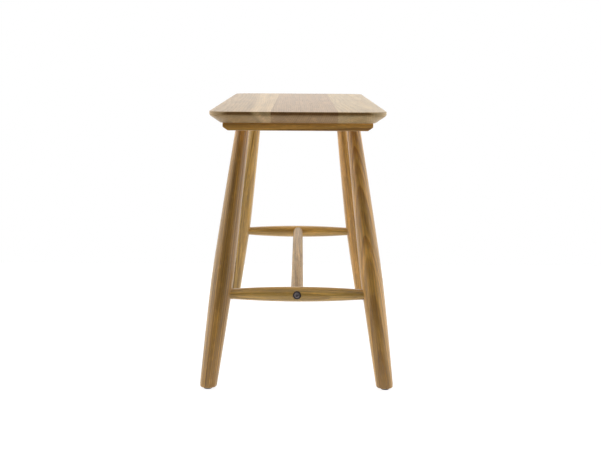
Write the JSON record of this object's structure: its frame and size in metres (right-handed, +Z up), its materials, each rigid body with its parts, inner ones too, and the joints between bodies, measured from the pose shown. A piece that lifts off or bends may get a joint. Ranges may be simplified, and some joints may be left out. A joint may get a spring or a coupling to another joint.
{
  "type": "bench",
  "caption": "Low wooden bench: bevelled solid seat on splayed turned legs, with cross battens, cigar-shaped end stretchers and a bolted centre stretcher.",
  "frame": {"origin": "on the floor, under the middle of the seat", "axes": "+Z up, +Y along the bench towards its rear end, +X across the bench to the right as seen from its front end"},
  "size_m": [0.3124, 0.9, 0.45],
  "materials": {
    "seat_oak": "solid oak, planed, sanded and oiled pale",
    "frame_oak": "solid oak, turned or planed, clear satin lacquer",
    "stretcher_oak": "solid oak, turned, clear satin lacquer",
    "black_steel": "steel with a black oxide finish",
    "zinc_steel": "steel, zinc plated",
    "insert_brass": "turned brass",
    "pad_plastic": "moulded, dark brown, matt"
  },
  "bodies": {
    "root": {"seat_stave_1": "seat_oak", "seat_stave_2": "seat_oak", "seat_stave_3": "seat_oak", "front_batten": "frame_oak", "rear_batten": "frame_oak", "front_left_leg": "frame_oak", "front_right_leg": "frame_oak", "rear_left_leg": "frame_oak", "rear_right_leg": "frame_oak", "front_left_leg_wedge": "frame_oak", "front_right_leg_wedge": "frame_oak", "rear_left_leg_wedge": "frame_oak", "rear_right_leg_wedge": "frame_oak", "front_left_foot_pad": "pad_plastic", "front_right_foot_pad": "pad_plastic", "rear_left_foot_pad": "pad_plastic", "rear_right_foot_pad": "pad_plastic", "front_end_stretcher": "frame_oak", "rear_end_stretcher": "frame_oak", "centre_stretcher": "stretcher_oak", "front_stretcher_bolt": "black_steel", "rear_stretcher_bolt": "black_steel", "front_stretcher_insert": "insert_brass", "rear_stretcher_insert": "insert_brass", "front_seat_bolt_middle": "zinc_steel", "front_seat_bolt_outer_left": "zinc_steel", "front_seat_bolt_outer_right": "zinc_steel", "front_seat_bolt_inner_left": "zinc_steel", "front_seat_bolt_inner_right": "zinc_steel", "rear_seat_bolt_middle": "zinc_steel", "rear_seat_bolt_outer_left": "zinc_steel", "rear_seat_bolt_outer_right": "zinc_steel", "rear_seat_bolt_inner_left": "zinc_steel", "rear_seat_bolt_inner_right": "zinc_steel", "front_seat_insert_middle": "insert_brass", "front_seat_insert_outer_left": "insert_brass", "front_seat_insert_outer_right": "insert_brass", "front_seat_insert_inner_left": "insert_brass", "front_seat_insert_inner_right": "insert_brass", "rear_seat_insert_middle": "insert_brass", "rear_seat_insert_outer_left": "insert_brass", "rear_seat_insert_outer_right": "insert_brass", "rear_seat_insert_inner_left": "insert_brass", "rear_seat_insert_inner_right": "insert_brass"}
  },
  "joints": []
}
